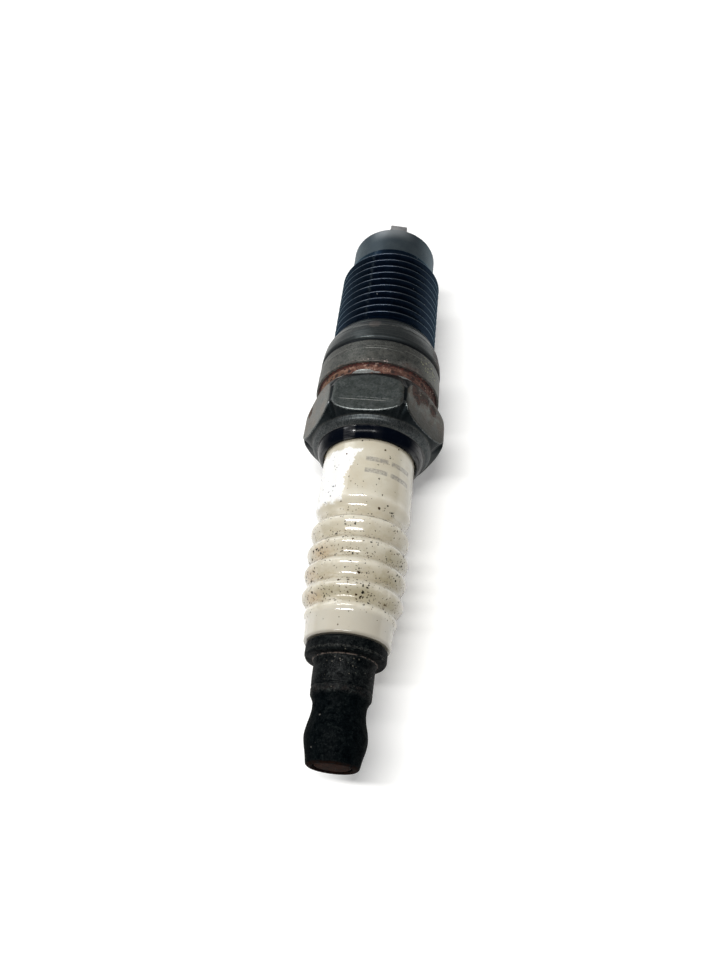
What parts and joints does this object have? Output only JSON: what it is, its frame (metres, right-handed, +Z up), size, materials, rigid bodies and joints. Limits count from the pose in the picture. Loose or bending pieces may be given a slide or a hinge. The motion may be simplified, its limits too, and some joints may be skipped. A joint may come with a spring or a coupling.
{
  "type": "spark plug",
  "caption": "Conical-seat spark plug with hexagon shell, ribbed ceramic insulator, resistor column, ground strap and screw-on terminal nut.",
  "frame": {"origin": "on the plug's axis, half-way between the ground electrode's outer face and the terminal nut's end", "axes": "+Y along the axis towards the firing end, -Y towards the terminal, +Z up, square to a flat of the hexagon; the plug lies on its side"},
  "size_m": [0.0182, 0.0756, 0.0162],
  "materials": {
    "blacked_steel": "dark oxide over rolled steel, scuffed, with rust in the groove under the hexagon",
    "glazed_alumina": "glossy cream-white glazed ceramic with fine dark specks and grime between the ribs",
    "terminal_steel": "satin black oxide with light speckle",
    "stud_steel": "plain steel with light rust",
    "nickel_alloy": "dull nickel alloy",
    "copper": "bare copper",
    "glass_seal": "fired copper-glass, dark brown, slightly glossy",
    "resistor_glass": "fired carbon-glass, dull black",
    "talc": "pressed talc powder",
    "packing_steel": "bright drawn steel"
  },
  "bodies": {
    "plug": {"shell": "blacked_steel", "insulator": "glazed_alumina", "center_electrode": "nickel_alloy", "center_electrode_core": "copper", "ground_electrode": "nickel_alloy", "seat_washer": "packing_steel", "talc_packing": "talc", "lower_packing_ring": "packing_steel", "upper_packing_ring": "packing_steel", "lower_glass_seal": "glass_seal", "suppressor_resistor": "resistor_glass", "upper_glass_seal": "glass_seal", "terminal_stud": "stud_steel"},
    "nut": {"terminal_nut": "terminal_steel"}
  },
  "joints": [
    {"name": "terminal_nut_unscrew", "type": "slide", "parent": "plug", "child": "nut", "axis": [0, -1, 0], "range_m": [0, 0.0126]}
  ]
}
